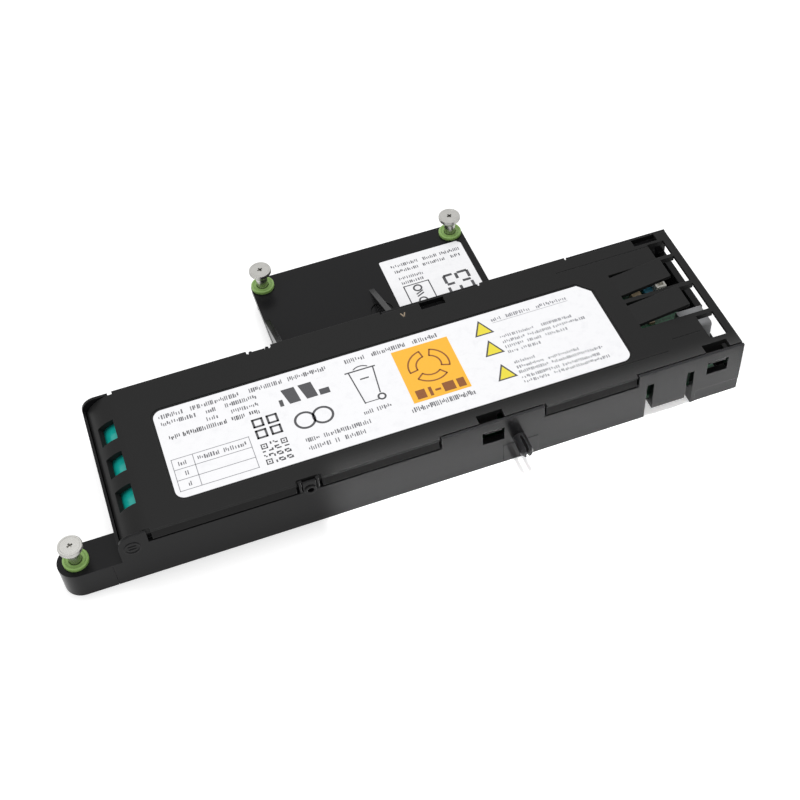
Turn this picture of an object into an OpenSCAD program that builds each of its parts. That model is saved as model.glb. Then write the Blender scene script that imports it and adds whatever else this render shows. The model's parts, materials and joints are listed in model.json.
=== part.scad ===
// Battery module for a RAID controller: seven AA-size nickel-metal hydride cells and
// their charging board in a snap-together housing, held down by three captive screws.
// X runs along the housing from the ear end to the connector end, Y runs from the
// front wall to the rear wing, and Z = 0 is the face that sits on the carrier board.

/* [Cells] */
// Diameter of one sleeved cell
cell_d = 14.5; // [13.9:0.1:15]
// Length of one cell, tip of the cap to the flat end
cell_len = 49; // [47:0.5:51]
// Gap between neighbouring cells
cell_gap = 0.3; // [0.1:0.1:0.8]
// Diameter of the raised cap on the positive end
cap_d = 5.4; // [4:0.1:6.5]
// Height of the raised cap
cap_h = 1; // [0.6:0.1:1.5]
// Width of the nickel strip that joins two cells
strip_w = 5; // [3:0.5:7]
// Thickness of the nickel strip
strip_t = 0.2; // [0.1:0.05:0.3]
// Diameter of the insulated leads to the board
lead_d = 1.2; // [0.8:0.1:1.3]

/* [Housing] */
// Thickness of the case walls
wall = 2.2; // [1.8:0.1:2.8]
// Thickness of the case floor
floor_t = 1.8; // [1.4:0.1:2.4]
// Room under the cells, between the floor and the sleeves
under_room = 1.4; // [1.3:0.1:2.5]
// Room between the end of a cell and the wall
end_room = 0.8; // [0.5:0.1:1.5]
// Room over the cells, under the cover
over_room = 0.95; // [0.6:0.05:1.5]
// Thickness of the top cover
cover_t = 2; // [1.6:0.1:2.6]
// Length of the bay for the charging board
bay_len = 87.7; // [84:0.5:96]
// Gap between the cover and the case where they meet
fit = 0.25; // [0.15:0.05:0.4]
// Radius of the case lip at the ear end
corner_r = 4.6; // [3:0.1:6]
// Thickness of the thin lip round the cover
lip_t = 0.85; // [0.6:0.05:1]
// Height of the end wall under the connector opening
end_wall_h = 12.3; // [10:0.1:14]

/* [Snap edge] */
// Depth of the skirt pieces of the cover below its top face
skirt_h = 4.3; // [3.5:0.1:5.5]
// Thickness of the skirt at its foot
skirt_t = 1.2; // [0.9:0.1:1.4]
// Gap round each skirt piece
skirt_gap = 0.7; // [0.4:0.1:1]
// Length of the lip beside the ear-end corner
corner_tab = 8.8; // [6:0.1:12]
// Distance of the middle clip from the ear end
clip_x = 57; // [50:0.5:64]
// Width of the notch for the middle clip
clip_w = 7.2; // [6:0.1:9]
// Distance of the first latch from the ear end
latch_x = 114; // [110:0.5:120]
// Distance of the second latch from the connector end
latch_back = 8.4; // [8:0.1:11]
// Width of a latch hook
latch_w = 5.6; // [4:0.1:7]
// Half length of the high wall on either side of the first latch
latch_wall = 16.3; // [12:0.1:18]
// Length of the high wall at the connector end
end_run = 35; // [31:0.5:40]

/* [Ear and wing] */
// Height of the ear and of the wing over the base
deck_h = 9.7; // [8.5:0.1:11]
// Thickness of the ear and wing plates
deck_t = 2.2; // [1.8:0.1:3]
// Width of the ear
ear_w = 11.3; // [9.5:0.1:13]
// Distance of the ear screw from the ear end of the body
ear_reach = 12.6; // [9:0.1:18]
// Distance of the wing's near edge from the ear end of the body
wing_x = 63.3; // [55:0.1:75]
// Width of the wing
wing_w = 75; // [60:0.5:84]
// Depth of the wing behind the body
wing_d = 40.3; // [30:0.1:50]
// Radius of the wing corners, also the edge distance of its screws
wing_r = 4; // [4:0.1:7]
// Depth of the sloping gussets on the wing
gusset_d = 21; // [12:0.5:26]
// Thickness of a gusset
gusset_t = 1.9; // [1.2:0.1:3]
// Place of the inner gusset from the wing's near edge
gusset_x = 36.4; // [30:0.1:40]

/* [Captive screws] */
// Diameter of the knurled head
head_d = 7.3; // [6.8:0.1:7.5]
// Thickness of the knurled head
head_t = 1.3; // [0.9:0.1:2]
// Height of the knurled taper under the head
taper_h = 1.5; // [1.2:0.1:2.2]
// Diameter of the foot of the taper
taper_d = 4.9; // [4.4:0.1:5.2]
// Diameter of the smooth neck
neck_d = 3.8; // [3.4:0.1:3.8]
// Diameter of the thread
thread_d = 2.9; // [2.5:0.1:3]
// Travel of a screw, raised to driven home
travel = 4.3; // [3:0.1:4.3]
// Gap left at either end of that travel
stop_gap = 0.05; // [0.05:0.05:0.1]
// Outer diameter of the coloured ring
ring_d = 7.7; // [7.4:0.1:8]
// Height of the coloured ring over the plate
ring_h = 1.2; // [0.9:0.1:1.6]
// Depth of the dish in the ring
dish_d = 0.35; // [0.2:0.05:0.6]
// Running gap between the neck and its ring
neck_gap = 0.15; // [0.1:0.05:0.2]
// Outer diameter of the screw boss
boss_d = 6.4; // [6:0.1:7.2]
// Bore of the screw boss
boss_bore = 5; // [4.8:0.1:5.1]
// Thickness of the spring's seat at the foot of the boss
seat_t = 0.5; // [0.4:0.05:0.6]
// Gap round the thread in its seat
thread_gap = 0.25; // [0.15:0.05:0.35]
// Thickness of the clip that holds the screw up
clip_t = 0.4; // [0.3:0.1:0.6]
// Wire of the lifting spring
wire_d = 0.35; // [0.25:0.05:0.4]
// Rising turns of the lifting spring
turns = 3; // [3:1:4]

/* [Openings] */
// Width of each cell window, along the cell
window_w = 7.6; // [5:0.1:9]
// Distance between the cell windows
window_pitch = 12.7; // [11:0.1:14]
// Lower edge of the windows, in degrees up the round end
window_a0 = 47; // [40:1:55]
// Upper edge of the windows, in degrees up the round end
window_a1 = 80; // [70:1:85]
// Distance of the vent tongues' roots from the connector end
tongue_root = 26; // [24:0.5:32]
// Length of a vent tongue
tongue_len = 17; // [12:0.5:20]
// Width of a vent tongue
tongue_w = 8.5; // [6:0.1:9.5]
// Thickness of a vent tongue
tongue_t = 1.3; // [1:0.1:1.6]
// Rise of a vent tongue at its free end
tongue_rise = 2.6; // [1:0.1:3.5]
// Place of the first bar of the vent from the front
bar_y = 16.5; // [14:0.1:18]
// Distance between the bars of the vent
bar_pitch = 13.2; // [12.6:0.1:13.6]
// Width of a bar
bar_w = 1.3; // [1:0.1:2]
// Width of the strip that closes the connector end
end_strip = 2.4; // [2:0.1:3]
// Thickness of that strip
end_strip_t = 1.1; // [0.8:0.1:1.8]

/* [Front wall] */
// Distance of the finger panel's near slot from the connector end
panel_back = 32; // [30:0.5:33]
// Width of the finger panel
panel_w = 11.2; // [9:0.1:12]
// Slot beside the finger panel
panel_slot = 2.3; // [1.5:0.1:2.6]
// Top of the slots over the base
panel_top = 15.1; // [12:0.1:15.4]
// Lower edge of the finger panel over the base
panel_foot = 3.3; // [2.5:0.1:4.5]
// Diameter of the split locating peg
peg_d = 4.1; // [3.4:0.1:5]
// Length of the peg from the wall
peg_len = 6.8; // [4:0.1:9]
// Height of the peg over the base
peg_z = 9.6; // [7:0.1:11]
// Distance of the peg from the ear end
peg_x = 122.3; // [119:0.1:128]

/* [Labels] */
// Length of the main label
label_l = 142.6; // [120:0.1:143]
// Width of the main label
label_w = 34.5; // [28:0.1:36]
// Distance of the main label from the ear end
label_x = 19.9; // [18:0.1:24]
// Distance of the main label from the front
label_y = 7.5; // [6.5:0.1:10]
// Thickness of the labels
label_t = 0.15; // [0.1:0.05:0.25]
// Depth of the shallow recess for the main label
label_recess = 0.3; // [0.25:0.05:0.5]
// Margin of the recess round the main label
label_margin = 0.9; // [0.5:0.1:1.2]
// Distance of the wing label from the inner gusset
wing_label_in = 5.2; // [1:0.1:9]
// Distance of the wing label from the side edge of the wing
wing_label_out = 2.4; // [1:0.1:6]
// Distance of the wing label from the rear wall
wing_label_front = 2.1; // [1:0.1:6]
// Distance of the wing label from the rear edge of the wing
wing_label_back = 8.7; // [8.3:0.1:12]

/* [Charging board] */
// Thickness of the board
pcb_t = 1.6; // [1:0.1:2]
// Height of the board's support posts over the floor
post_h = 3.4; // [2.8:0.1:4.5]
// Gap between the board and the walls
pcb_gap = 0.6; // [0.4:0.1:1]
// Gap between the board and the wall at the connector end
pcb_end_gap = 3.4; // [1:0.1:6]
// Distance of the plug housing from the front
socket_y = 16.6; // [14:0.1:18]
// How far the plug housing stands out over the board's end
socket_out = 4; // [1:0.1:5]
// Diameter of the board screws
board_screw_d = 1.7; // [1.4:0.1:1.8]
// Height of a board screw's head
board_screw_h = 1.2; // [0.8:0.1:1.6]
// Side of the coil's square flanges
coil_w = 8; // [6:0.5:10]
// Diameter of the tall capacitor
can_d = 6.3; // [5:0.1:8]
// Height of the tall capacitor
can_h = 5.8; // [5:0.1:6]
// Length of a small chip capacitor
chip_cap_l = 2; // [1.6:0.1:2.4]
// Length of a large chip capacitor
chip_cap_big = 3.2; // [3:0.1:3.6]

/* [Hidden] */
$fn = 48;
e = 0.01;

cells = 7;
pitch = cell_d + cell_gap;
body_w = cell_len + 2 * (wall + end_room);
axis_z = floor_t + under_room + cell_d / 2;
end_r = cell_d / 2 + over_room + cover_t;
body_h = axis_z + end_r;
last_x = end_r + (cells - 1) * pitch;
bay_x = last_x + cell_d / 2;
body_l = bay_x + bay_len + wall;
cover_in = lip_t + fit;
skirt_z = body_h - skirt_h;
rim_y = skirt_t + fit;
latches = [latch_x, body_l - latch_back];
run1 = [latch_x - latch_wall, latch_x + latch_wall];
run2 = [body_l - end_run, body_l];
clip = [clip_x - clip_w / 2, clip_x + clip_w / 2];
highs = [[0, corner_tab], run1, run2];
skirts = [[corner_tab + 2 * skirt_gap, clip[0] - skirt_gap / 2],
    [clip[1] + skirt_gap / 2, run1[0] - skirt_gap],
    [run1[1] + skirt_gap, run2[0] - skirt_gap]];
cell_y = wall + end_room;
pcb_z = floor_t + post_h;
pcb_top = pcb_z + pcb_t;
part_t = 1.5;
part_x = bay_x + 0.6;
pcb_x = part_x + part_t + pcb_gap;
pcb_l = body_l - wall - pcb_end_gap - pcb_x;
pcb_end = pcb_x + pcb_l;
pcb_y = wall + pcb_gap;
pcb_w = body_w - 2 * pcb_y;
screws = [[-ear_reach, ear_w / 2],
    [wing_x + wing_r, body_w + wing_d - wing_r],
    [wing_x + wing_w - wing_r, body_w + wing_d - wing_r]];
clip_z = deck_h - deck_t - stop_gap - clip_t;
clip_r = boss_bore / 2 - 0.15;
dish_h = ring_h - dish_d;
taper_z = deck_h + dish_h + travel + stop_gap;
tip_z = 0.4;
panel_x = body_l - panel_back;
lead_y = cell_y + lead_d / 2 + 0.2;
pcb_posts = [for (x = [pcb_x + 6, body_l - 22], y = [pcb_y + 7, body_w - pcb_y - 7]) [x, y]];
bars = [for (k = [0:2]) bar_y + k * bar_pitch];
vent_x = body_l - tongue_root;
strip_x = body_l - fit - end_strip;
gussets = [0.1, gusset_x];

// Puts the centre of the base face at the origin
module place() {
    translate([-body_l / 2, -body_w / 2, 0]) children();
}

// Side outline of the inside of the cover, drawn with X to the right and Z up,
// and drawn in from the outer face by the amount given
module side_profile(inset) {
    square([body_l, axis_z]);
    intersection() {
        translate([end_r, axis_z]) circle(end_r - inset, $fn = 96);
        translate([inset, 0]) square([end_r, body_h]);
    }
    translate([end_r, 0]) square([body_l - end_r, body_h - inset]);
}

// Side outline of the thin lip, with its own smaller corner radius
module lip_profile() {
    difference() {
        square([body_l, body_h - fit]);
        translate([-e, body_h - fit - corner_r])
            difference() {
                square([corner_r, corner_r + e]);
                translate([corner_r + e, 0]) circle(corner_r, $fn = 64);
            }
    }
}

// Extrudes a side outline along Y, from y0 to y1
module along_y(y0, y1) {
    translate([0, y1, 0]) rotate([90, 0, 0]) linear_extrude(y1 - y0) children();
}

// Extrudes an outline drawn in Y and Z along X, from x0 to x1
module along_x(x0, x1) {
    translate([x0, 0, 0]) rotate([90, 0, 90]) linear_extrude(x1 - x0) children();
}

// Repeats a feature of the front wall on the rear wall
module both_sides() {
    children();
    translate([0, body_w, 0]) mirror([0, 1, 0]) children();
}

// Box given by its two opposite corners
module span(a, b) {
    translate(a) cube(b - a);
}

// Rectangle with four round corners, given by its two opposite corners
module rounded(a, b, r) {
    translate(a + [r, 0]) square(b - a - [2 * r, 0]);
    translate(a + [0, r]) square(b - a - [0, 2 * r]);
    for (x = [a.x + r, b.x - r], y = [a.y + r, b.y - r]) translate([x, y]) circle(r);
}

// One long wall of the case: low under the skirts, high beside the latches
module long_wall() {
    along_y(0, wall) intersection() {
        side_profile(cover_t + fit);
        square([body_l, skirt_z - skirt_gap]);
    }
    along_y(rim_y, wall) side_profile(cover_t + fit);
    for (h = highs) {
        along_y(0, wall) intersection() {
            side_profile(cover_t + fit);
            translate([h[0], 0]) square([h[1] - h[0], body_h]);
        }
        along_y(0, lip_t) intersection() {
            lip_profile();
            translate([h[0], 0]) square([h[1] - h[0], body_h]);
        }
    }
    // middle clip: a tab with a ringed hole, between two round pins
    span([clip_x - 2, 0, axis_z], [clip_x + 2, lip_t, body_h - 0.9]);
    translate([clip_x + 0.1, fit, skirt_z]) rotate([90, 0, 0]) cylinder(d = 3.5, h = fit + 0.35);
    for (s = [-1, 1]) translate([clip_x + s * 2.65, 0.65, axis_z]) cylinder(d = 1.2, h = end_r - 0.35);
}

// Windows that the latch hooks snap into, cut through a long wall
module latch_windows() {
    for (x = latches) span([x - latch_w / 2 - skirt_gap, -e, axis_z + 0.9],
        [x + latch_w / 2 + skirt_gap, wall + e, body_h - 3.9]);
}

// Two ribs with round seats that carry the row of cells
module saddles() {
    for (y = [0.22, 0.78]) difference() {
        span([wall - e, body_w * y - 1.2, floor_t - e], [part_x + e, body_w * y + 1.2, axis_z - 3]);
        for (k = [0:cells - 1])
            translate([end_r + k * pitch, 0, axis_z]) rotate([-90, 0, 0])
                cylinder(d = cell_d + 0.1, h = body_w);
    }
}

// Ear at the front corner, hollow from below, with its round end about the screw
module ear() {
    difference() {
        union() {
            translate([-ear_reach, ear_w / 2, 0]) cylinder(d = ear_w, h = deck_h, $fn = 96);
            span([-ear_reach, 0, 0], [e, ear_w, deck_h]);
        }
        translate([-ear_reach, ear_w / 2, -e]) cylinder(d = ear_w - 2 * 1.6, h = deck_h - deck_t, $fn = 96);
        span([-ear_reach, 1.6, -e], [-1, ear_w - 1.6, deck_h - deck_t]);
        span([-3.1, -e, -e], [-2.9, 0.25, deck_h - 0.3]);
    }
    translate([-ear_reach + 1, ear_w / 2 - 0.6, 1.5]) cube([ear_reach, 1.2, deck_h - deck_t - 1.5]);
}

// Wing behind the body: a plate with stiffening ribs below and two gussets above
module wing() {
    translate([0, 0, deck_h - deck_t]) linear_extrude(deck_t) {
        translate([wing_x, body_w - wall]) square([wing_w, wing_d + wall - wing_r]);
        translate([wing_x + wing_r, body_w]) square([wing_w - 2 * wing_r, wing_d]);
        for (i = [1, 2]) translate(screws[i]) circle(wing_r);
    }
    for (x = [wing_x + wing_r, wing_x + gusset_x, wing_x + wing_w - wing_r])
        span([x - 0.7, body_w - e, deck_h - deck_t - 2.5],
            [x + 0.7, body_w + wing_d - wing_r, deck_h - deck_t + e]);
    span([wing_x + wing_r, body_w + wing_d - wing_r - 0.7, deck_h - deck_t - 2.5],
        [wing_x + wing_w - wing_r, body_w + wing_d - wing_r + 0.7, deck_h - deck_t + e]);
    for (g = gussets) along_x(wing_x + g, wing_x + g + gusset_t)
        polygon([[body_w - e, deck_h - e], [body_w + gusset_d, deck_h - e], [body_w - e, body_h - 1.2]]);
}

// Post round a captive screw
module screw_boss(p) {
    translate([p.x, p.y, 0]) cylinder(d = boss_d, h = deck_h - deck_t + e);
}

// Bore of the post, the hole in the seat at its foot, and the neck's hole in the plate
module screw_bore(p) {
    translate([p.x, p.y, seat_t]) cylinder(d = boss_bore, h = deck_h - deck_t - seat_t);
    translate([p.x, p.y, -1]) cylinder(d = thread_d + 2 * thread_gap, h = deck_h);
    translate([p.x, p.y, deck_h - deck_t - e]) cylinder(d = neck_d + 2 * neck_gap, h = deck_t + 1);
}

// Cut-outs round the finger panel in the front wall, and the open floor behind it
module panel_cuts() {
    for (x = [panel_x, panel_x + panel_slot + panel_w])
        span([x, -1, -1], [x + panel_slot, wall + 4.1, panel_top]);
    span([panel_x, -1, -1], [panel_x + 2 * panel_slot + panel_w, wall + 4.1, panel_foot]);
    span([panel_x, wall, -1], [panel_x + 2 * panel_slot + panel_w, wall + 4.1, floor_t + e]);
}

// Side flanges that stiffen the finger panel and the wall ends beside it
module panel_ribs() {
    for (x = [panel_x + panel_slot, panel_x + panel_slot + panel_w - 1.2])
        span([x, e, panel_foot], [x + 1.2, wall + 1.6, pcb_z - 0.3]);
    for (x = [panel_x - 1.2, panel_x + 2 * panel_slot + panel_w])
        span([x, e, 0], [x + 1.2, wall + 1.6, pcb_z - 0.3]);
}

// Split peg that snaps into the neighbouring bracket
module peg() {
    difference() {
        union() {
            translate([peg_x, e, peg_z]) rotate([90, 0, 0]) cylinder(d = peg_d, h = peg_len - peg_d / 4);
            translate([peg_x, -peg_len + peg_d / 4 + e, peg_z]) rotate([90, 0, 0])
                cylinder(d1 = peg_d, d2 = peg_d * 0.7, h = peg_d / 4, $fn = 48);
        }
        span([peg_x - 0.45, -peg_len - 1, peg_z - peg_d], [peg_x + 0.45, -0.8, peg_z + peg_d]);
    }
    span([peg_x - 5.2, -0.15, 0.6], [peg_x + 6.2, e, peg_z - 1.5]);
}

module bottom_case() {
    color("#2b2b2c") place() {
        difference() {
            union() {
                span([0, 0, 0], [body_l, body_w, floor_t]);
                both_sides() long_wall();
                // ear-end wall with its lip, and the low wall at the connector end
                span([0, 0, 0], [wall, body_w, axis_z - fit]);
                span([0, 0, 0], [lip_t, body_w, body_h - fit - corner_r]);
                span([body_l - wall, 0, 0], [body_l, body_w, end_wall_h]);
                saddles();
                span([part_x, wall - e, floor_t - e], [part_x + part_t, body_w - wall + e, axis_z + 5]);
                ear();
                wing();
                peg();
                for (p = screws) screw_boss(p);
                for (p = pcb_posts) translate([p.x, p.y, floor_t - e]) cylinder(d = 5, h = post_h + e);
                // round mark with two short ribs near the ear
                translate([3.9, e, axis_z + 4.5]) rotate([90, 0, 0]) difference() {
                    cylinder(d = 5, h = 0.2);
                    translate([0, 0, -e]) cylinder(d = 4.2, h = 1);
                }
                for (z = [-0.6, 0.6]) span([2.7, -0.19, axis_z + 4.3 + z], [5.1, e, axis_z + 4.7 + z]);
            }
            both_sides() latch_windows();
            panel_cuts();
            for (p = screws) screw_bore(p);
            for (p = pcb_posts) translate([p.x, p.y, floor_t])
                cylinder(d = board_screw_d + 0.1, h = post_h + 1);
            // hole in each middle clip, and the step along the foot of the end run
            both_sides() translate([clip_x + 0.1, -1, skirt_z]) rotate([-90, 0, 0]) cylinder(d = 2, h = 2);
            span([panel_x + 2 * panel_slot + panel_w + 1.4, -1, -1], [body_l + 1, 0.15, 4.9]);
            // openings in the connector end: the plug port, and a smaller one beside it
            span([body_l - wall - e, 11.2, pcb_top - 0.4], [body_l + 1, 25.8, end_wall_h + 1]);
            span([body_l - wall - e, 28.2, pcb_top - 0.4], [body_l + 1, 32.4, pcb_top + 1.6]);
            // notches in the cross wall for the two leads
            for (y = [lead_y, body_w - lead_y]) span([part_x - 1, y - 1.2, floor_t + 0.1],
                [part_x + part_t + 1, y + 1.2, floor_t + 0.1 + 2 * lead_d]);
            // shallow round recess on the wing, round the foot of the inner gusset
            translate([wing_x + gusset_x + 1.2, body_w + 10.6, deck_h - 0.4]) difference() {
                cylinder(d = 7.4, h = 1);
                span([-0.95 - 0.25, -9, -1], [0.95 - 0.25 + e, 9, 2]);
            }
        }
        panel_ribs();
    }
}

// One piece of the skirt, stepped under the top edge and leaning out to its foot
module skirt_piece(x) {
    along_x(x[0], x[1]) polygon([[cover_in + 1, body_h], [0, body_h], [0, body_h - 0.9],
        [0.55, body_h - 1.1], [0.55, body_h - 1.7], [0, skirt_z], [skirt_t, skirt_z],
        [skirt_t, body_h - cover_t], [cover_in + 1, body_h - cover_t]]);
}

// Latch: an arm that hangs from the plate, with a hook that faces out
module latch_arm(x) {
    along_x(x - latch_w / 2, x + latch_w / 2)
        polygon([[4.1, body_h - cover_t + e], [4.1, body_h - 4.3], [fit, body_h - 4.3], [fit, body_h - 5],
            [4.1, axis_z + 1.6], [5.3, axis_z + 1.2], [5.3, body_h - cover_t + e]]);
}

// Vent tongue: rooted at its near end, rising to its free end
module vent_tongue(y) {
    along_y(y, y + tongue_w) polygon([[vent_x - 1, body_h - tongue_t], [vent_x, body_h - tongue_t],
        [vent_x + tongue_len, body_h + tongue_rise - tongue_t], [vent_x + tongue_len, body_h + tongue_rise],
        [vent_x, body_h], [vent_x - 1, body_h]]);
}

// Opening through the plate of the cover, given by two opposite corners seen from above
module through(a, b) {
    span([a.x, a.y, body_h - cover_t - 1], [b.x, b.y, body_h + 1]);
}

module top_cover() {
    color("#303031") place() {
        difference() {
            union() {
                // round end and flat plate, one bent shell
                along_y(cover_in, body_w - cover_in) intersection() {
                    difference() {
                        side_profile(0);
                        side_profile(cover_t);
                        translate([-1, -1]) square([body_l, axis_z + 1]);
                    }
                    translate([cover_in, 0]) square([body_l - fit - cover_in, body_h + 1]);
                }
                both_sides() {
                    for (s = skirts) skirt_piece(s);
                    for (x = latches) latch_arm(x);
                }
            }
            // notches over the latches and at the middle clip
            both_sides() {
                for (x = latches) through([x - latch_w / 2 - 1.3, -1], [x + latch_w / 2 + 1.3, 4.1]);
                through([clip[0], -1], [clip[1], 1.35]);
            }
            // windows in the round end, one set per opening
            for (k = [-1:1], y = body_w / 2 + k * window_pitch)
                along_y(y - window_w / 2, y + window_w / 2) translate([end_r, axis_z])
                    polygon([[0, 0], 1.2 * end_r * [-cos(window_a0), sin(window_a0)],
                        1.2 * end_r * [-cos(window_a1), sin(window_a1)]]);
            // vent openings: two with tongues, one at either side
            for (k = [0, 1]) through([vent_x, bars[k] + 0.9], [strip_x, bars[k + 1] - bar_w / 2]);
            through([vent_x + tongue_len + 0.5, bars[2] + bar_w / 2], [strip_x, body_w - 4.9]);
            through([vent_x + tongue_len + 0.5, 6], [strip_x, bars[0] - bar_w / 2]);
            // the strip at the connector end is thinner than the plate
            span([strip_x, -1, body_h - cover_t - 1], [body_l + 1, body_w + 1, body_h - end_strip_t]);
            // recess for the main label
            translate([0, 0, body_h - label_recess]) linear_extrude(1) label_outline(label_margin);
            // fine lines beside the vent
            span([vent_x - 15, 5.8, body_h - 0.2], [vent_x + 3.5, 6.1, body_h + 1]);
            span([vent_x + 6.5, 9.8, body_h - 0.2], [vent_x + 16, 10.1, body_h + 1]);
            span([vent_x - 15, body_w - 5.7, body_h - 0.2], [strip_x, body_w - 5.4, body_h + 1]);
        }
        for (k = [0, 1]) vent_tongue(bars[k] + 2.8);
    }
}

// Outline of the main label, with round corners and one cut corner
module label_outline(m) {
    a = [label_x - m, label_y - m];
    b = [label_x + label_l + m, label_y + label_w + m];
    difference() {
        rounded(a, b, 3 + m);
        polygon([[b.x - 4.4 - m, b.y + 1], [b.x + 1, b.y + 1], [b.x + 1, b.y - 5 - m]]);
    }
}

// One cell, lying along Y: the sleeve turns in over both ends, and the cap stands proud
module cell(k, flip) {
    color("#137f78") place() translate([end_r + k * pitch, flip ? cell_y + cell_len : cell_y, axis_z])
        rotate([flip ? 90 : -90, 0, 0]) rotate_extrude($fn = 96)
            polygon([[0, 0], [cap_d / 2, 0], [cap_d / 2, cap_h], [cell_d / 2 - 1.7, cap_h],
                [cell_d / 2 - 1.7, cap_h - 0.2], [cell_d / 2 - 0.5, cap_h - 0.2], [cell_d / 2, cap_h + 0.3],
                [cell_d / 2, cell_len - 0.5], [cell_d / 2 - 0.5, cell_len], [0, cell_len]]);
}

module cell_1() { cell(0, false); }
module cell_2() { cell(1, true); }
module cell_3() { cell(2, false); }
module cell_4() { cell(3, true); }
module cell_5() { cell(4, false); }
module cell_6() { cell(5, true); }
module cell_7() { cell(6, false); }

// Nickel strip from one cell to the next, on the rear ends when rear is true
module link(k, rear) {
    x = end_r + k * pitch;
    y = rear ? body_w - cell_y : cell_y - strip_t;
    color("#b9b6ae") place() along_y(y, y + strip_t)
        rounded([x - strip_w / 2, axis_z - strip_w / 2],
            [x + pitch + strip_w / 2, axis_z + strip_w / 2], strip_w / 2 - 0.1);
}

module link_1() { link(0, true); }
module link_2() { link(1, false); }
module link_3() { link(2, true); }
module link_4() { link(3, false); }
module link_5() { link(4, true); }
module link_6() { link(5, false); }

// Lead from an end cell to the board: a welded tab, then a wire along the floor
module lead(x, rear) {
    z = floor_t + 0.1 + lead_d / 2;
    translate([0, rear ? body_w : 0, 0]) mirror([0, rear ? 1 : 0, 0]) {
        span([x - strip_w / 2, cell_y - strip_t, z], [x + strip_w / 2, cell_y, axis_z + strip_w / 2]);
        translate([x, cell_y - strip_t / 2, z]) rotate([-90, 0, 0])
            cylinder(d = lead_d, h = lead_y - cell_y);
        translate([x, lead_y, z]) rotate([0, 90, 0]) cylinder(d = lead_d, h = pcb_x + 3 - x);
        for (p = [x, pcb_x + 3]) translate([p, lead_y, z]) sphere(d = lead_d);
        translate([pcb_x + 3, lead_y, z]) cylinder(d = lead_d, h = pcb_z - z);
    }
}

module positive_lead() { color("#a02020") place() lead(end_r, false); }
module negative_lead() { color("#202024") place() lead(last_x, true); }

module circuit_board() {
    color("#2f7d4a") place() difference() {
        span([pcb_x, pcb_y, pcb_z], [pcb_x + pcb_l, pcb_y + pcb_w, pcb_top]);
        for (p = pcb_posts) translate([p.x, p.y, pcb_z - 1]) cylinder(d = board_screw_d + 0.7, h = pcb_t + 2);
    }
}

// Plug housing at the board's end: a shell open towards the port, with two rows of pins
module board_connector() {
    color("#8d8e90") place() translate([pcb_end + socket_out - 8.6, socket_y, pcb_top]) {
        difference() {
            rotate([90, 0, 90]) linear_extrude(8.6) rounded([0, 0], [8.4, 7.6], 1);
            translate([1.2, 0, 0]) rotate([90, 0, 90]) linear_extrude(9)
                rounded([0.9, 0.9], [7.5, 6.7], 0.4);
        }
        for (k = [0:3], z = [2.6, 4.8]) translate([0.6, 1.8 + k * 1.4, z]) cube([3, 0.5, 0.5]);
    }
}

module storage_coil() {
    h = coil_w / 2;
    color("#3a3a3c") place() translate([pcb_x + 41, 21, pcb_top]) {
        linear_extrude(1) rounded([-h, -h], [h, h], 1);
        cylinder(r = h - 1, h = 3.4);
        translate([0, 0, 3]) linear_extrude(0.9) rounded([-h, -h], [h, h], 2);
    }
}

// Moulded chip with gull-wing legs along its two long sides
module chip(x, y, l, w, h, legs) {
    translate([x - l / 2, y - w / 2, pcb_top]) {
        translate([0, 0, 0.1]) cube([l, w, h]);
        for (k = [0:legs - 1], s = [0, 1])
            translate([l * (k + 0.5) / legs - 0.2, s * w, 0]) mirror([0, 1 - s, 0]) {
                translate([0, -0.1, h / 2]) cube([0.4, 0.6, 0.2]);
                translate([0, 0.3, 0]) cube([0.4, 0.2, h / 2 + 0.2]);
                translate([0, 0.3, 0]) cube([0.4, 0.7, 0.2]);
            }
    }
}

module charger_chip() { color("#1c1c1e") place() chip(pcb_x + 28, 37, 10.4, 7.5, 2.2, 8); }
module gauge_chip() { color("#1c1c1e") place() chip(pcb_x + 54, 38, 6.4, 4.4, 1.1, 10); }

module tall_capacitor() {
    r = can_d / 2;
    color("#c9c9c6") place() translate([pcb_x + 18, 19, pcb_top]) {
        linear_extrude(0.8) rounded([-r - 0.15, -r - 0.15], [r + 0.15, r + 0.15], 0.8);
        rotate_extrude($fn = 64) polygon([[0, 0.7], [r - 0.05, 0.7], [r - 0.05, 1.2], [r - 0.25, 1.5],
            [r, 1.8], [r, can_h - 0.3], [r - 0.25, can_h], [0, can_h]]);
    }
}

// Chip capacitors: small two-ended blocks, given by place, length and share of width
module chip_capacitors() {
    big = chip_cap_big;
    small = chip_cap_l;
    color("#b8a98c") place() for (c = [[pcb_end - 10.1, 41.4, big, 0.78, 0.75],
        [pcb_end - 14, 39, small, 0.6, 0.5], [pcb_end - 10, 29.5, small, 0.6, 0.45],
        [pcb_x + 36, 30, big, 0.5, 0.38], [pcb_x + 36, 33, big, 0.5, 0.38],
        [pcb_x + 47, 30, small, 0.6, 0.45]])
        translate([c[0] - c[2] / 2, c[1] - c[2] * c[3] / 2, pcb_top]) cube(c[2] * [1, c[3], c[4]]);
}

module white_header() {
    color("#e6e4dc") place() translate([pcb_end - 3.5, 39.4, pcb_top]) difference() {
        cube([3.4, 6, 4.2]);
        translate([0.6, 0.7, 1]) cube([2.2, 4.6, 4]);
    }
}

module board_fuse() {
    color("#2c6f86") place() translate([pcb_end - 5.3, 42.2, pcb_top]) linear_extrude(1.6)
        rounded([-1.5, -1.9], [1.5, 1.9], 0.3);
}

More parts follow.
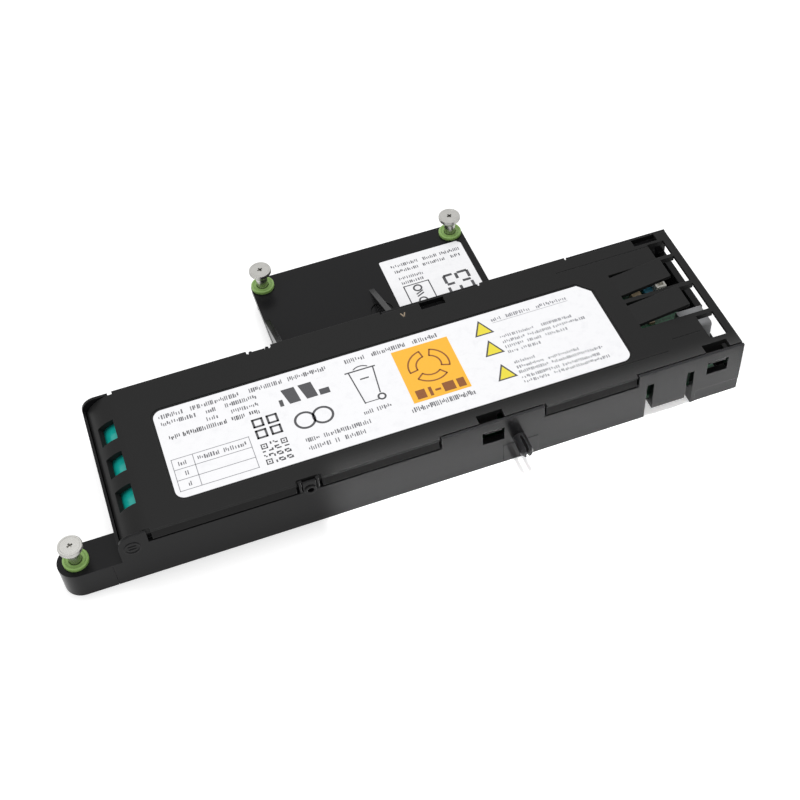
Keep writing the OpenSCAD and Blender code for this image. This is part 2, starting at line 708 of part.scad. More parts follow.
module board_screws() {
    r = board_screw_d;
    h = board_screw_h;
    color("#b5b5b2") place() for (p = pcb_posts) translate([p.x, p.y, pcb_top]) {
        difference() {
            rotate_extrude($fn = 32)
                polygon([[0, 0], [r + 0.1, 0], [r + 0.1, h / 2], [r - 0.4, h - 0.1], [0, h]]);
            for (a = [0, 90]) rotate([0, 0, a]) translate([-1, -0.2, h - 0.5]) cube([2, 0.4, 1]);
        }
        translate([0, 0, -pcb_t - 2.8]) cylinder(d = board_screw_d, h = pcb_t + 2.9);
    }
}

module main_label() {
    color("#f2f2f4") place() translate([0, 0, body_h - label_recess]) linear_extrude(label_t)
        label_outline(0);
}

module wing_label() {
    a = [wing_x + gusset_x + gusset_t + wing_label_in, body_w + wing_label_front];
    b = [wing_x + wing_w - wing_label_out, body_w + wing_d - wing_label_back];
    color("#ececec") place() translate([0, 0, deck_h]) linear_extrude(label_t) difference() {
        rounded(a, b, 0.6);
        translate(b) rotate([0, 0, 45]) square([1.8, 1.8], center = true);
    }
}

// Captive screw, one turned piece: knurled head and taper, neck, groove and thread
module thumbscrew(p) {
    head_z = taper_z + taper_h;
    top = head_z + head_t;
    thread_r = thread_d / 2;
    lean = atan(0.7 / taper_h);
    color("#bfbfbd") place() translate([p.x, p.y, 0]) difference() {
        rotate_extrude($fn = 72) polygon([[0, tip_z], [thread_r - 0.5, tip_z], [thread_r, tip_z + 0.5],
            [thread_r, clip_z], [thread_r - 0.3, clip_z], [thread_r - 0.3, clip_z + clip_t],
            [neck_d / 2, clip_z + clip_t], [neck_d / 2, taper_z], [taper_d / 2, taper_z],
            [taper_d / 2 + 0.7, head_z], [head_d / 2, head_z], [head_d / 2, top - 0.2],
            [head_d / 2 - 0.2, top], [head_d / 2 - 0.6, top], [head_d / 2 - 0.75, top - 0.12],
            [0, top - 0.12]]);
        // knurls of the head and of the taper
        for (k = [0:35]) rotate([0, 0, k * 10]) {
            translate([head_d / 2 + 0.1, 0, head_z - 1]) rotate([0, 0, 45])
                cylinder(d = 0.5, h = head_t + 2, $fn = 4);
            translate([taper_d / 2 + 0.02, 0, taper_z]) rotate([0, lean, 0]) rotate([0, 0, 45])
                translate([0, 0, -0.6]) cylinder(d = 0.32, h = taper_h / cos(lean) + 0.6, $fn = 4);
        }
        // cross recess
        for (a = [20, 110]) rotate([0, 0, a]) translate([0, 0, head_z + 0.1])
            rotate([90, 0, 0]) translate([0, 0, -0.3]) linear_extrude(0.6)
                polygon([[-0.5, 0], [0.5, 0], [1.2, 2], [-1.2, 2]]);
    }
}

module thumbscrew_1() { thumbscrew(screws[0]); }
module thumbscrew_2() { thumbscrew(screws[1]); }
module thumbscrew_3() { thumbscrew(screws[2]); }

// Coloured ring: a dished bush that guides the neck above the plate
module screw_ring(p) {
    r = neck_d / 2 + neck_gap;
    color("#6a9a40") place() translate([p.x, p.y, deck_h]) rotate_extrude($fn = 72)
        polygon([[r, 0], [ring_d / 2, 0], [ring_d / 2, ring_h - 0.3], [ring_d / 2 - 0.3, ring_h],
            [ring_d / 2 - 0.55, ring_h], [taper_d / 2 + 0.35, dish_h], [r, dish_h]]);
}

module screw_ring_1() { screw_ring(screws[0]); }
module screw_ring_2() { screw_ring(screws[1]); }
module screw_ring_3() { screw_ring(screws[2]); }

// Open clip in the groove of the screw, which keeps it in its boss
module screw_clip(p) {
    color("#9a9a98") place() translate([p.x, p.y, clip_z]) linear_extrude(clip_t) difference() {
        circle(clip_r);
        circle(thread_d / 2 - 0.3);
        translate([0, -0.6]) square([boss_d, 1.2]);
    }
}

module screw_clip_1() { screw_clip(screws[0]); }
module screw_clip_2() { screw_clip(screws[1]); }
module screw_clip_3() { screw_clip(screws[2]); }

// Coil spring swept along a helix, with its end turns lying flat
module screw_spring(p) {
    steps = 16;
    sides = 6;
    low = seat_t + wire_d / 2 + 0.02;
    high = clip_z - wire_d / 2 - 0.02;
    mean = (clip_r + thread_d / 2 + 0.1) / 2;
    n = (turns + 2) * steps;
    rise = function(k) low + (high - low) * min(1, max(0, (k - steps) / (turns * steps)));
    ring = function(k) [for (j = [0:sides - 1])
        let (a = 360 * j / sides, r = mean + wire_d / 2 * cos(a), turn = 360 * k / steps)
        [r * cos(turn), r * sin(turn), rise(k) + wire_d / 2 * sin(a)]];
    first = steps / 2;
    last = n - steps / 2;
    rings = [for (k = [first:last]) ring(k)];
    m = len(rings);
    color("#8f8f92") place() translate([p.x, p.y, 0]) polyhedron([for (q = rings) each q],
        concat([[for (j = [0:sides - 1]) j]], [[for (j = [sides - 1:-1:0]) (m - 1) * sides + j]],
            [for (k = [0:m - 2], j = [0:sides - 1]) let (i = (j + 1) % sides)
                [k * sides + j, (k + 1) * sides + j, (k + 1) * sides + i, k * sides + i]]));
}

module screw_spring_1() { screw_spring(screws[0]); }
module screw_spring_2() { screw_spring(screws[1]); }
module screw_spring_3() { screw_spring(screws[2]); }

bottom_case();
top_cover();
cell_1();
cell_2();
cell_3();
cell_4();
cell_5();
cell_6();
cell_7();
link_1();
link_2();
link_3();
link_4();
link_5();
link_6();
positive_lead();
negative_lead();
circuit_board();
board_connector();
storage_coil();
charger_chip();
gauge_chip();
tall_capacitor();
chip_capacitors();
white_header();
board_fuse();
board_screws();
main_label();
wing_label();
thumbscrew_1();
thumbscrew_2();
thumbscrew_3();
screw_ring_1();
screw_ring_2();
screw_ring_3();
screw_clip_1();
screw_clip_2();
screw_clip_3();
screw_spring_1();
screw_spring_2();
screw_spring_3();
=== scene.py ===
"""Looks of the battery module: a flat snap-together housing with its labels, its
captive screws, and the charging board that shows through the vent."""

import json
import math
import random

import bmesh
import bpy
from mathutils import Matrix, Vector


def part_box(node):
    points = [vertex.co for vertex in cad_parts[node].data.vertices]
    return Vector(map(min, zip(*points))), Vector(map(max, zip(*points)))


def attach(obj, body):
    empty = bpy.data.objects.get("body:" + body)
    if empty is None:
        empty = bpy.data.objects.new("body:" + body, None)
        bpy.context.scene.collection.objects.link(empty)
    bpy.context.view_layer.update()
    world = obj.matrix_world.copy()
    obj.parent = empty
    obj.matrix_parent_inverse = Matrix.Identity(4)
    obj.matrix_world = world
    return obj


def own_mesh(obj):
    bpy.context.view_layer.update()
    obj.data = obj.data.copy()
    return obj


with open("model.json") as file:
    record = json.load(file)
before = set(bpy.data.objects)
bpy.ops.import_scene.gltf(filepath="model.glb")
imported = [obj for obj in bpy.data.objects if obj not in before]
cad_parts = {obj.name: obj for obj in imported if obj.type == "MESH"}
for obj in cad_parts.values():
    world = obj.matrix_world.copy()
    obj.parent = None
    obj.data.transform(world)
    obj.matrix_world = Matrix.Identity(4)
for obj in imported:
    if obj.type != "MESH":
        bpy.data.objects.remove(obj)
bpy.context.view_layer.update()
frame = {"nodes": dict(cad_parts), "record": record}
nodes = frame["nodes"]

MM = 0.001
INK = 0.02 * MM          # thickness of the printed ink over its label
INK_LIFT = 0.002 * MM    # keeps the foot of the ink clear of the face it is on
ROW_SEED = 11            # one seed for every row of print
COVER_TOP = 20.65 * MM   # height of the cover's flat plate over the base
FLOOR_HALF = 6           # metres from the middle of the floor to its edge
FLOOR_DROP = 0.02 * MM   # keeps the floor clear of the base
FLOOR_LIFT = 0.5         # light added to the floor for the rays that see it as a backdrop
WORLD_FILL = 0.62        # strength of the light from all round
WORLD_WHITE = 1.0        # strength at which the world is seen as white


# ---------------------------------------------------------------- materials

def linear(hex_colour):
    """An sRGB hex colour as the linear colour that a shader takes."""
    parts = [int(hex_colour[i:i + 2], 16) / 255 for i in (1, 3, 5)]
    return (*[c / 12.92 if c <= 0.04045 else ((c + 0.055) / 1.055) ** 2.4 for c in parts], 1.0)


def per_mm(size):
    """A pattern's scale, from the real size of its grains in millimetres."""
    return 1 / (size * MM)


def add(tree, kind, sockets=None, **settings):
    """Adds one shader node, with its settings, and its sockets set or linked."""
    node = tree.nodes.new("ShaderNode" + kind)
    for name, value in settings.items():
        setattr(node, name, value)
    for key, value in (sockets or {}).items():
        if isinstance(value, bpy.types.NodeSocket):
            tree.links.new(value, node.inputs[key])
        else:
            node.inputs[key].default_value = value
    return node


def blank(name):
    """A new material with no nodes but its object coordinates in metres."""
    made = bpy.data.materials.new(name)
    made.use_nodes = True
    made.node_tree.nodes.clear()
    tree = made.node_tree
    return made, tree, add(tree, "TexCoord").outputs["Object"]


def moulded(name, body, worn_highlight, rough, grain_mm, grain_depth, round_mm, level=0.5):
    """Moulded plastic: a spark-eroded grain, flow marks in its gloss, and paler edges that are partly
    rubbed wear and partly a painted edge highlight.
    """
    made, tree, place = blank(name)
    rounded = add(tree, "Bevel", {"Radius": round_mm * MM}, samples=6).outputs["Normal"]
    face = add(tree, "NewGeometry").outputs["Normal"]
    bend = add(tree, "VectorMath", {0: rounded, 1: face}, operation="DOT_PRODUCT").outputs["Value"]
    edge = add(tree, "MapRange", {"Value": bend, "From Min": 0.98, "From Max": 0.82}).outputs["Result"]
    scuff = add(tree, "TexNoise", {"Vector": place, "Scale": per_mm(2.6), "Detail": 5,
                                   "Roughness": 0.7}).outputs["Fac"]
    flow = add(tree, "TexNoise", {"Vector": place, "Scale": per_mm(22), "Detail": 3}).outputs["Fac"]
    grain = add(tree, "TexNoise", {"Vector": place, "Scale": per_mm(grain_mm), "Detail": 1,
                                   "Roughness": 0.4}).outputs["Fac"]
    # Paler edges: partly rubbed wear, partly a painted highlight where the rounded edges catch light
    rub_and_highlight = add(tree, "Math", {0: edge, 1: scuff}, operation="MULTIPLY").outputs[0]
    colour = add(tree, "Mix", {"Factor": rub_and_highlight, "A": linear(body), "B": linear(worn_highlight)},
                 data_type="RGBA").outputs["Result"]
    streaks = add(tree, "MapRange", {"Value": flow, "To Min": rough - 0.05,
                                     "To Max": rough + 0.05}).outputs["Result"]
    haze = add(tree, "MapRange", {"Value": scuff, "To Min": -0.03, "To Max": 0.03}).outputs["Result"]
    shine = add(tree, "Math", {0: streaks, 1: haze}, operation="ADD").outputs[0]
    bump = add(tree, "Bump", {"Height": grain, "Strength": grain_depth, "Distance": 0.05 * MM,
                              "Normal": rounded}).outputs["Normal"]
    skin = add(tree, "BsdfPrincipled", {"Base Color": colour, "Roughness": shine, "Normal": bump,
                                        "IOR": 1.5, "Specular IOR Level": level}).outputs["BSDF"]
    add(tree, "OutputMaterial", {"Surface": skin})
    return made


def film(name, pale, grey, rough, ripple):
    """Coated label film or a shrunk sleeve: smooth, with a faint ripple and dust."""
    made, tree, place = blank(name)
    dust = add(tree, "TexNoise", {"Vector": place, "Scale": per_mm(3), "Detail": 6,
                                  "Roughness": 0.7}).outputs["Fac"]
    wave = add(tree, "TexNoise", {"Vector": place, "Scale": per_mm(9), "Detail": 1}).outputs["Fac"]
    thick = add(tree, "MapRange", {"Value": dust, "From Min": 0.5, "From Max": 0.8}).outputs["Result"]
    colour = add(tree, "Mix", {"Factor": thick, "A": linear(pale), "B": linear(grey)},
                 data_type="RGBA").outputs["Result"]
    shine = add(tree, "MapRange", {"Value": dust, "To Min": rough - 0.04,
                                   "To Max": rough + 0.06}).outputs["Result"]
    bump = add(tree, "Bump", {"Height": wave, "Strength": ripple,
                              "Distance": 0.2 * MM}).outputs["Normal"]
    skin = add(tree, "BsdfPrincipled", {"Base Color": colour, "Roughness": shine, "Normal": bump,
                                        "IOR": 1.48}).outputs["BSDF"]
    add(tree, "OutputMaterial", {"Surface": skin})
    return made


def ink(name, dark, thin):
    """Printing ink, and the painted highlight tick on the cover: nearly even, thinner and paler here and
    there.
    """
    made, tree, place = blank(name)
    patch = add(tree, "TexNoise", {"Vector": place, "Scale": per_mm(0.6), "Detail": 3}).outputs["Fac"]
    colour = add(tree, "Mix", {"Factor": patch, "A": linear(dark), "B": linear(thin)},
                 data_type="RGBA").outputs["Result"]
    shine = add(tree, "MapRange", {"Value": patch, "To Min": 0.38, "To Max": 0.5}).outputs["Result"]
    skin = add(tree, "BsdfPrincipled", {"Base Color": colour, "Roughness": shine,
                                        "IOR": 1.48}).outputs["BSDF"]
    add(tree, "OutputMaterial", {"Surface": skin})
    return made


def metal(name, bright, dull, rough, line_mm, stretch, depth):
    """Plated or drawn metal: fine lines from turning or rolling, and duller patches."""
    made, tree, place = blank(name)
    drawn = add(tree, "Mapping", {"Vector": place, "Scale": stretch}).outputs["Vector"]
    lines = add(tree, "TexNoise", {"Vector": drawn, "Scale": per_mm(line_mm)}).outputs["Fac"]
    stain = add(tree, "TexNoise", {"Vector": place, "Scale": per_mm(1.5), "Detail": 5,
                                   "Roughness": 0.6}).outputs["Fac"]
    colour = add(tree, "Mix", {"Factor": stain, "A": linear(bright), "B": linear(dull)},
                 data_type="RGBA").outputs["Result"]
    shine = add(tree, "MapRange", {"Value": stain, "To Min": rough - 0.06,
                                   "To Max": rough + 0.08}).outputs["Result"]
    bump = add(tree, "Bump", {"Height": lines, "Strength": depth,
                              "Distance": 0.02 * MM}).outputs["Normal"]
    skin = add(tree, "BsdfPrincipled", {"Base Color": colour, "Metallic": 1.0, "Roughness": shine,
                                        "Normal": bump}).outputs["BSDF"]
    add(tree, "OutputMaterial", {"Surface": skin})
    return made


def solder_mask(name):
    """Board laminate under green mask: copper shows through as paler tracks."""
    made, tree, place = blank(name)
    tracks = add(tree, "TexBrick", {"Vector": place, "Color1": linear("#000000"),
                                    "Color2": linear("#000000"), "Mortar": linear("#ffffff"),
                                    "Scale": per_mm(2.2), "Mortar Size": 0.09, "Mortar Smooth": 0.1,
                                    "Brick Width": 1.7, "Row Height": 0.6}).outputs["Color"]
    colour = add(tree, "Mix", {"Factor": tracks, "A": linear("#0b3f26"), "B": linear("#1d5c3c")},
                 data_type="RGBA").outputs["Result"]
    skin = add(tree, "BsdfPrincipled", {"Base Color": colour, "Roughness": 0.32,
                                        "IOR": 1.5}).outputs["BSDF"]
    add(tree, "OutputMaterial", {"Surface": skin})
    return made


# Black ABS blend, moulded in a fine-textured tool: a satin face that mirrors pale floors.
# Both tool textures are drawn coarser than such textures are, so that they show
case_plastic = moulded("moulded_black_abs_case", "#171718", "#4a4a4c", 0.22, 0.3, 0.08, 0.18, 0.14)
# The same blend in a more matt tool: an even soft grey sheen over the plate
cover_plastic = moulded("moulded_black_abs_cover", "#212121", "#515152", 0.4, 0.3, 0.25, 0.2, 0.1)
# Heat-shrunk PVC sleeve, teal: wet-looking highlights along the cell
sleeve = film("shrunk_pvc_sleeve_teal", "#17b3a8", "#14a198", 0.22, 0.15)
# Coated polyester label film, white: faint gloss and a trace of dust
label_film = film("coated_polyester_film_white", "#fafafc", "#f0f0f3", 0.34, 0.05)
# Nickel-plated steel, turned and straight-knurled: bright with soft bands
nickel = metal("nickel_plated_turned_steel", "#c9c8c4", "#a8a7a3", 0.26, 0.12, (1, 1, 6), 0.25)
# Nickel strip, rolled: fine lines along its length
strip = metal("rolled_nickel_strip", "#b9b6ae", "#a19e96", 0.3, 0.15, (0.2, 3, 3), 0.2)
# Music wire and clip steel, oiled: darker grey
spring_steel = metal("drawn_spring_steel", "#8f8f92", "#77777a", 0.35, 0.15, (3, 3, 3), 0.2)
# Green acetal bush: low sheen, with a painted highlight as its paler rim
ring_plastic = moulded("turned_green_acetal", "#93bb66", "#bdd39c", 0.36, 0.3, 0.08, 0.12)
red_wire = film("pvc_insulation_red", "#9c1f1c", "#84201d", 0.35, 0.1)
black_wire = film("pvc_insulation_black", "#1c1c1f", "#28282b", 0.35, 0.1)
board_mask = solder_mask("green_solder_mask")
grey_nylon = moulded("moulded_grey_nylon", "#8f9092", "#b5b5b5", 0.45, 0.3, 0.1, 0.1)
white_nylon = moulded("moulded_white_nylon", "#e4e2da", "#f0f0ec", 0.45, 0.3, 0.1, 0.1)
chip_epoxy = moulded("moulded_chip_epoxy", "#17171a", "#3a3a3c", 0.55, 0.3, 0.2, 0.08)
ferrite = moulded("pressed_ferrite", "#2c2c2e", "#4a4a4c", 0.6, 0.3, 0.3, 0.1)
fuse_coat = film("coated_fuse_polymer", "#1f6f86", "#1a5f74", 0.3, 0.1)
ceramic = film("fired_ceramic_chip", "#a8977a", "#8f8064", 0.4, 0.1)
can = metal("drawn_aluminium_can", "#c9c9c6", "#b2b2b0", 0.3, 0.15, (1, 1, 4), 0.2)

finish = {"case_plastic": case_plastic, "cover_plastic": cover_plastic, "cell_sleeve": sleeve,
          "nickel_strip": strip, "red_wire": red_wire, "black_wire": black_wire, "board": board_mask,
          "grey_housing": grey_nylon, "ferrite": ferrite, "chip_body": chip_epoxy, "can_metal": can,
          "chip_ceramic": ceramic, "white_housing": white_nylon, "fuse_body": fuse_coat,
          "screw_steel": nickel, "label_film": label_film, "nickel_plate": nickel,
          "green_ring": ring_plastic, "spring_steel": spring_steel}
for part in frame["record"]["subparts"]:
    shown = nodes[part["node"]]
    shown.data.materials.clear()
    shown.data.materials.append(finish[part["material_slot"]])

# Each lifting spring gets a mesh of its own
for k in (1, 2, 3):
    spring = nodes["screw_spring_%d" % k]
    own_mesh(spring)


# ---------------------------------------------------------------- print on the labels

def piece(name, mesh, material):
    """Makes one finished piece of a bmesh of ink shapes or painted highlight shapes, in its place, and
    puts it on the module.
    """
    data = bpy.data.meshes.new(name)
    mesh.to_mesh(data)
    mesh.free()
    data.materials.append(material)
    made = bpy.data.objects.new(name, data)
    bpy.context.scene.collection.objects.link(made)
    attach(made, "module")


class Print:
    """Ink shapes on one label, or painted highlight shapes on the cover, placed in millimetres from the
    label's near corner.
    """

    def __init__(self, node):
        low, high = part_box(node)
        self.corner, self.top = low, high.z
        self.mesh = bmesh.new()

    def raise_up(self, faces):
        """Gives flat faces the ink's thickness, and sets them on the label."""
        up = bmesh.ops.extrude_face_region(self.mesh, geom=faces)["geom"]
        tips = [v for v in up if isinstance(v, bmesh.types.BMVert)]
        bmesh.ops.translate(self.mesh, vec=(0, 0, INK), verts=tips)

    def outline(self, points):
        """One filled shape from its corner points."""
        place = [self.corner.xy + Vector(p) * MM for p in points]
        ring = [self.mesh.verts.new((p.x, p.y, self.top + INK_LIFT)) for p in place]
        self.raise_up([self.mesh.faces.new(ring)])

    def bar(self, x0, x1, y0, y1):
        """A filled rectangle between two heights and two lengths."""
        self.outline([(x0, y0), (x1, y0), (x1, y1), (x0, y1)])

    def stroke(self, a, b, wide):
        """A straight line of even width between two points."""
        a, b = Vector(a), Vector(b)
        side = (b - a).orthogonal().normalized() * wide / 2
        self.outline([a - side, b - side, b + side, a + side])

    def frame(self, x0, x1, y0, y1, wide):
        """The four sides of a rectangle, as lines that meet in square corners."""
        corners = [Vector(p) for p in ((x0, y0), (x1, y0), (x1, y1), (x0, y1))]
        for a, b in zip(corners, corners[1:] + corners[:1]):
            reach = (b - a).normalized() * wide / 2
            self.stroke(a - reach, b + reach, wide)

    def arc(self, centre, radius, wide, start, stop, steps=24):
        """Part of a ring, from one angle in degrees to another."""
        turn = [math.radians(start + (stop - start) * k / steps) for k in range(steps + 1)]
        middle, inner, outer = Vector(centre), radius - wide / 2, radius + wide / 2
        for pair in zip(turn, turn[1:]):
            a, b = [Vector((math.cos(t), math.sin(t))) for t in pair]
            self.outline([middle + a * inner, middle + a * outer, middle + b * outer, middle + b * inner])

    def row(self, y, tall, *spans, wide=0.3, gap=0.36, draw=random.Random(ROW_SEED)):
        """A row of thin upright strokes, in groups, where the real label has a line of words."""
        for x0, x1 in spans:
            x = x0
            while x < x1 - wide:
                foot = draw.choice((0, 0, 0, 0.28)) * tall
                head = draw.choice((1, 1, 0.7)) * tall
                self.bar(x, x + wide * draw.choice((1, 1, 1.5)), y - tall / 2 + foot, y - tall / 2 + head)
                x += wide + gap * draw.choice((0.8, 1, 1, 1.4))

    def done(self, name, material):
        """Closes the sheet of ink shapes, as one named piece."""
        piece(name, self.mesh, material)


dark_ink = ink("printing_ink_dark_grey", "#3f3f42", "#4c4c50")
grey_ink = ink("printing_ink_grey", "#66666a", "#78787c")
pale_ink = ink("printing_ink_pale_grey", "#88888d", "#98989e")
orange_ink = ink("printing_ink_orange", "#ffbf2e", "#fbb92a")
brown_ink = ink("printing_ink_brown", "#84480c", "#935512")
yellow_ink = ink("printing_ink_yellow", "#f2e23c", "#ecdb38")
# A painted highlight: the pale tick where the end of the cover's rear lip catches light
tick_highlight = ink("painted_highlight_beige", "#a08f78", "#8a7a66")

# Main label: millimetres from its near corner, which lies at the ear end
words = Print("main_label")
words.row(31.7, 1.7, (1.6, 9), (11.5, 27), (29.9, 40.5), (42.2, 55), (60.5, 67), (69.2, 80.2), (82.6, 91))
words.row(28.8, 1.6, (1.8, 13), (15.6, 19), (21.6, 31.5))
words.row(25.8, 1.5, (15.1, 19), (22.8, 31.5))
words.row(12.5, 1.6, (3.2, 6), (9.1, 16), (17, 24))
words.row(8.5, 1.6, (4.4, 5.4))
words.row(4.4, 1.6, (4.4, 5.4))
words.row(10.4, 1.6, (59.8, 62.6), (64, 68.8))
words.row(6.8, 1.6, (40.6, 45.2), (46.2, 61.3))
words.row(3.7, 1.6, (40.6, 47.6), (48.8, 50.6), (51.8, 58.8))
words.row(5.8, 1.9, (73.4, 93.8), gap=0.3)
words.done("main_label_words", grey_ink)

fine = Print("main_label")
fine.frame(1.5, 25.1, 2.5, 14.6, 0.22)
fine.stroke((7.9, 2.5), (7.9, 14.6), 0.22)
for y in (6.5, 10.5):
    fine.stroke((1.5, y), (25.1, y), 0.22)
fine.row(31, 1.4, (108.6, 112), (113.6, 121.8), (123.8, 134))
fine.stroke((108.6, 29.7), (134, 29.7), 0.12)
for y, *spans in ((23.3, (108.6, 119.8), (122.4, 132.6)), (21.1, (108.6, 116), (117, 124.5), (125.5, 136)),
                  (18.9, (108.6, 115), (116, 121), (122, 129.6)), (16.7, (108.6, 112), (113, 119.6)),
                  (12.1, (108.7, 115.4)), (9.9, (108.7, 118), (119, 129)),
                  (7.9, (108.6, 118), (119.4, 136.2)), (5.6, (108.6, 121), (122, 134.6)),
                  (3.7, (108.6, 117), (118.4, 137))):
    fine.row(y, 1.15, *spans)
fine.done("main_label_fine_words", pale_ink)

bold = Print("main_label")
bold.row(22.9, 1.7, (2.9, 6.6), (7.1, 21), (22.2, 26.6), (27.7, 31.2), wide=0.28, gap=0.34)
# plain open squares, bars and rings in place of the approval marks
for x in (27.4, 31.9):
    for y in (12.6, 17):
        bold.frame(x + 0.3, x + 3.1, y + 0.3, y + 3.1, 0.7)
for x in (38.8, 44.2):
    bold.outline([(x, 28.2), (x + 4.2, 28.2), (x + 4.9, 22.1), (x + 1.4, 22.1)])
bold.bar(37.2, 38.4, 22, 24.6)
bold.bar(49.8, 53, 22, 24.3)
for x in (42.6, 48.2):
    bold.arc((x, 14.4), 3.0, 0.75, 0, 360, 32)
# open-topped bin outline: lid, two sides, foot and wheel
bold.bar(59, 68.8, 26.8, 27.3)
bold.stroke((60.2, 26.9), (61.4, 13.6), 0.4)
bold.stroke((68, 26.9), (66.9, 16.2), 0.4)
bold.stroke((61.4, 13.9), (65.8, 13.9), 0.3)
bold.arc((66.9, 14.6), 1.1, 0.6, 0, 360, 20)
bold.arc((64.2, 24.9), 3.6, 0.4, 50, 130, 10)
bold.stroke((62.8, 23.3), (65.6, 23.3), 0.5)
# square code field: a frame in three of its corners, and an even scatter of blocks
CODE_X, CODE_Y = 27.5, 2.4   # near corner of the field
CODE_BLOCK = 0.48            # side of one block
CODE_BLOCKS = 17             # blocks along one side
for x, y in ((27.5, 2.4), (27.5, 8.4), (33.6, 8.4)):
    bold.frame(x + 0.2, x + 1.8, y + 0.2, y + 1.8, 0.35)
    bold.bar(x + 0.75, x + 1.25, y + 0.75, y + 1.25)
for i in range(CODE_BLOCKS):
    for j in range(CODE_BLOCKS):
        if (i < 6 and j < 6) or (i < 6 and j > 10) or (i > 10 and j > 10):
            continue
        if (i * i + 3 * j + i * j) % 5 < 2:
            x, y = CODE_X + i * CODE_BLOCK, CODE_Y + j * CODE_BLOCK
            bold.bar(x, x + CODE_BLOCK, y, y + CODE_BLOCK)
bold.done("main_label_marks", dark_ink)

field = Print("main_label")
field.bar(74.9, 93.3, 8.1, 29.9)
field.done("main_label_orange_field", orange_ink)
on_field = Print("main_label")
on_field.top += INK
LOOP_X, LOOP_Y = 84.2, 20.9   # middle of the three curved strokes
for start in (100, 220, 340):
    for radius in (6.4, 3.9):
        on_field.arc((LOOP_X, LOOP_Y), radius, 0.5, start, start + 90, 14)
    for end in (start, start + 90):
        out = Vector((math.cos(math.radians(end)), math.sin(math.radians(end))))
        on_field.stroke(Vector((LOOP_X, LOOP_Y)) + out * 3.7, Vector((LOOP_X, LOOP_Y)) + out * 6.6, 0.5)
for x0, x1, y0, y1 in ((76.6, 79.6, 9.1, 12.6), (80.7, 81.7, 9.1, 12.6), (82.6, 84.4, 10.4, 11.2),
                       (85.2, 88.9, 9.1, 12.6), (89.8, 92.2, 9.1, 12.6)):
    on_field.bar(x0, x1, y0, y1)
on_field.done("main_label_brown_shapes", brown_ink)

edge_ink, fill_ink = Print("main_label"), Print("main_label")
fill_ink.top += INK
for foot in (26, 17.2, 6.7):
    edge_ink.outline([(101.4, foot), (107.8, foot), (104.6, foot + 6.3)])
    fill_ink.outline([(102.2, foot + 0.45), (107, foot + 0.45), (104.6, foot + 5.2)])
edge_ink.done("main_label_triangle_edges", dark_ink)
fill_ink.done("main_label_yellow_triangles", yellow_ink)

# Wing label, from its corner nearest the ear
words = Print("wing_label")
words.row(25.8, 1.4, (3.1, 13), (14.5, 19.5), (20.6, 27.8))
words.row(23.1, 1.3, (3.6, 12), (13.6, 21.5), (23.6, 27))
words.row(19.6, 1.2, (3.9, 12.3))
words.row(17.3, 1.2, (4.1, 11.7))
words.done("wing_label_words", grey_ink)
bold = Print("wing_label")
bold.frame(4.1, 12.8, 1.5, 15.6, 0.4)
for y in (13.5, 7.5):
    bold.arc((8.3, y), 1.3, 0.6, 0, 360, 20)
for y in (11.4, 10.3):
    bold.stroke((7, y - 0.6), (9.6, y + 0.6), 0.5)
for a, b in (((18, 15.2), (21, 15.2)), ((22.8, 15.2), (26.2, 15.2)), ((26.2, 15.2), (26.2, 12)),
             ((26.2, 10), (26.2, 6.6)), ((26.2, 6.6), (22.6, 6.6)), ((20.6, 6.6), (18, 6.6)),
             ((18, 6.6), (18, 9.6)), ((18, 11.6), (18, 15.2)), ((18, 11), (20.6, 11)),
             ((23.4, 11), (26.2, 11)), ((22.2, 15.2), (22.2, 12.6)), ((21.9, 6.6), (21.9, 9.2))):
    bold.stroke(a, b, 1.0)
bold.done("wing_label_shapes", dark_ink)


# Small pale tick on the cover, near the rear latch: a painted highlight where the end of the rear lip
# catches light
tick = Print("top_cover")
tick.top = COVER_TOP
tick.stroke((102, 51.9), (102.7, 50.2), 0.4)
tick.stroke((102.7, 50.2), (103.4, 51.9), 0.4)
tick.done("cover_painted_highlight_tick", tick_highlight)


# ---------------------------------------------------------------- camera, floor and light

SENSOR, LENS = 36, 61.69                                 # millimetres
EYE = Vector((-76.385, -262.274, 336.305)) * MM           # place of the camera
AZIMUTH, ELEVATION, ROLL = -15.361, 50.238, -5.137        # degrees

camera = bpy.data.objects.new("camera", bpy.data.cameras.new("camera"))
camera.data.sensor_width = SENSOR
camera.data.lens = LENS
azimuth, elevation, roll = (math.radians(d) for d in (AZIMUTH, ELEVATION, ROLL))
level = Vector((math.sin(azimuth), -math.cos(azimuth), 0))
back = level * math.cos(elevation) + Vector((0, 0, math.sin(elevation)))
right = (-back).cross(Vector((0, 0, 1))).normalized()
up = right.cross(-back)
across = math.cos(roll) * right + math.sin(roll) * up
upward = math.cos(roll) * up - math.sin(roll) * right
turned = Matrix((across, upward, back)).transposed().to_4x4()
camera.matrix_world = Matrix.Translation(EYE) @ turned
camera.data.clip_start, camera.data.clip_end = 0.01, 20
bpy.context.scene.collection.objects.link(camera)
bpy.context.scene.camera = camera


def seen_rays(tree):
    """1 for the rays by which the eye, metal and glass meet a backdrop, and 0 for the rest."""
    rays = add(tree, "LightPath").outputs
    seen = rays["Is Camera Ray"]
    for ray in ("Is Glossy Ray", "Is Transmission Ray"):
        seen = add(tree, "Math", {0: seen, 1: rays[ray]}, operation="MAXIMUM").outputs[0]
    return seen


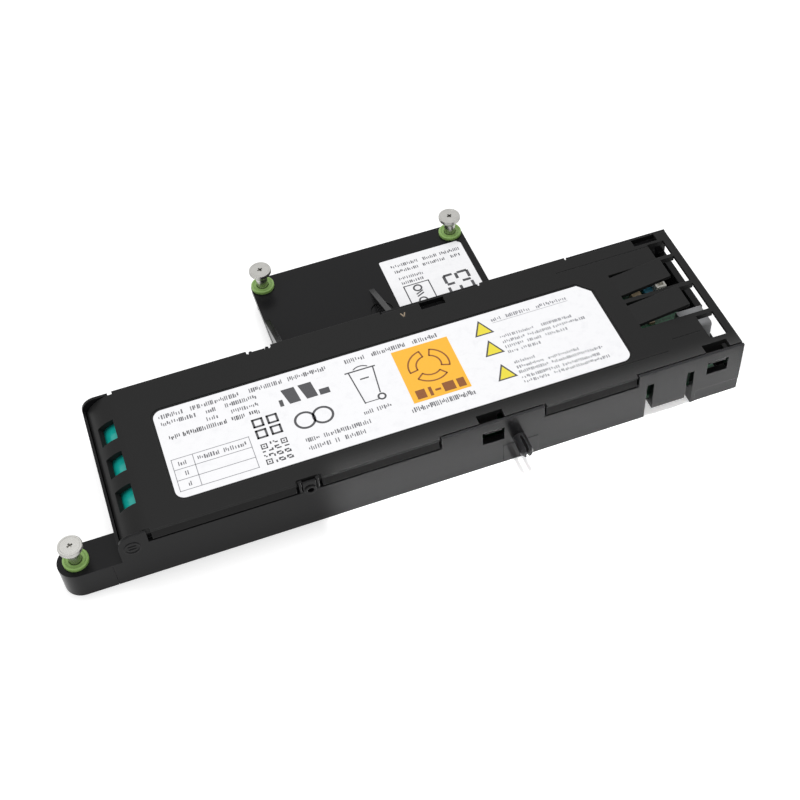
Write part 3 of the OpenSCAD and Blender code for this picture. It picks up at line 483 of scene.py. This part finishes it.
plane = bmesh.new()
bmesh.ops.create_grid(plane, x_segments=1, y_segments=1, size=FLOOR_HALF)
bmesh.ops.translate(plane, vec=(0, 0, -FLOOR_DROP), verts=plane.verts)
data = bpy.data.meshes.new("floor")
plane.to_mesh(data)
plane.free()
floor = bpy.data.objects.new("floor", data)
bpy.context.scene.collection.objects.link(floor)
# Seamless studio paper: white, and lifted to white for the camera, metal and glass
paper, tree, _ = blank("studio_paper_white")
lift = add(tree, "Math", {0: seen_rays(tree), 1: FLOOR_LIFT}, operation="MULTIPLY").outputs[0]
glow = add(tree, "Emission", {"Color": linear("#ffffff"), "Strength": lift}).outputs[0]
matt = add(tree, "BsdfDiffuse", {"Color": linear("#e6e6e6")}).outputs[0]
both = add(tree, "AddShader", {0: matt, 1: glow}).outputs[0]
add(tree, "OutputMaterial", {"Surface": both})
data.materials.append(paper)

world = bpy.data.worlds.new("studio")
bpy.context.scene.world = world
world.use_nodes = True
tree = world.node_tree
tree.nodes.clear()
level = add(tree, "MapRange", {"Value": seen_rays(tree), "To Min": WORLD_FILL,
                               "To Max": WORLD_WHITE}).outputs["Result"]
sky = add(tree, "Background", {"Color": linear("#ffffff"), "Strength": level}).outputs[0]
add(tree, "OutputWorld", {"Surface": sky})


def softbox(name, place, aim, wide, deep, watts, spread_deg=180):
    """A rectangular soft light at a place, turned towards a point; both in millimetres."""
    lamp = bpy.data.lights.new(name, "AREA")
    lamp.shape, lamp.size, lamp.size_y, lamp.energy = "RECTANGLE", wide * MM, deep * MM, watts
    lamp.spread = math.radians(spread_deg)
    holder = bpy.data.objects.new(name, lamp)
    bpy.context.scene.collection.objects.link(holder)
    way = (Vector(aim) - Vector(place)) * MM
    holder.matrix_world = (Matrix.Translation(Vector(place) * MM)
                           @ way.to_track_quat("-Z", "Y").to_matrix().to_4x4())
    holder.visible_camera = False


# One large soft light from above and behind, and a faint strip that brightens the floor in
# front of the case, which its glossy wall mirrors
softbox("top_softbox", (-60, 180, 900), (0, 0, 0), 700, 500, 3.6)
softbox("floor_strip", (37, -34, 130), (37, -34, 0), 142, 18, 0.02, 6)

bpy.context.scene.view_settings.view_transform = "Standard"
